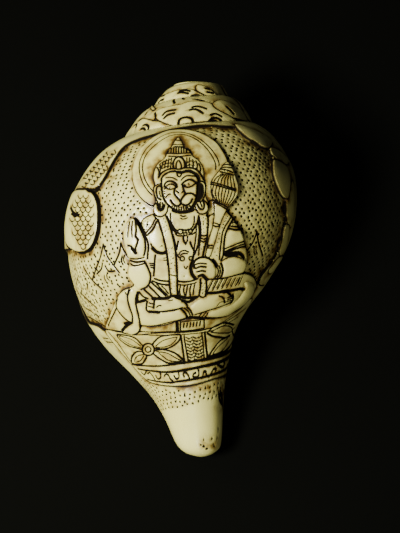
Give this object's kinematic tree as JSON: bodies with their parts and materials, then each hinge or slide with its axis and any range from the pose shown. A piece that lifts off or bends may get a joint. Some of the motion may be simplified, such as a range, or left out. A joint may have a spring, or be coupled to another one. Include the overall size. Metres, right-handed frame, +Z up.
{
  "type": "carved conch shell",
  "caption": "Carved sacred chank shell lying mouth down, with a seated deity in low relief on its back, a petalled spire and a smooth canal.",
  "frame": {"origin": "on the ground under the middle of the shell as it lies", "axes": "+Z up, -Y towards the tip of the canal, +Y towards the apex, +X to the right of an onlooker who sees the carving with the apex away"},
  "size_m": [0.1014, 0.1564, 0.084],
  "materials": {
    "shell": "polished"
  },
  "bodies": {
    "root": {"conch_shell": "shell"}
  },
  "joints": []
}
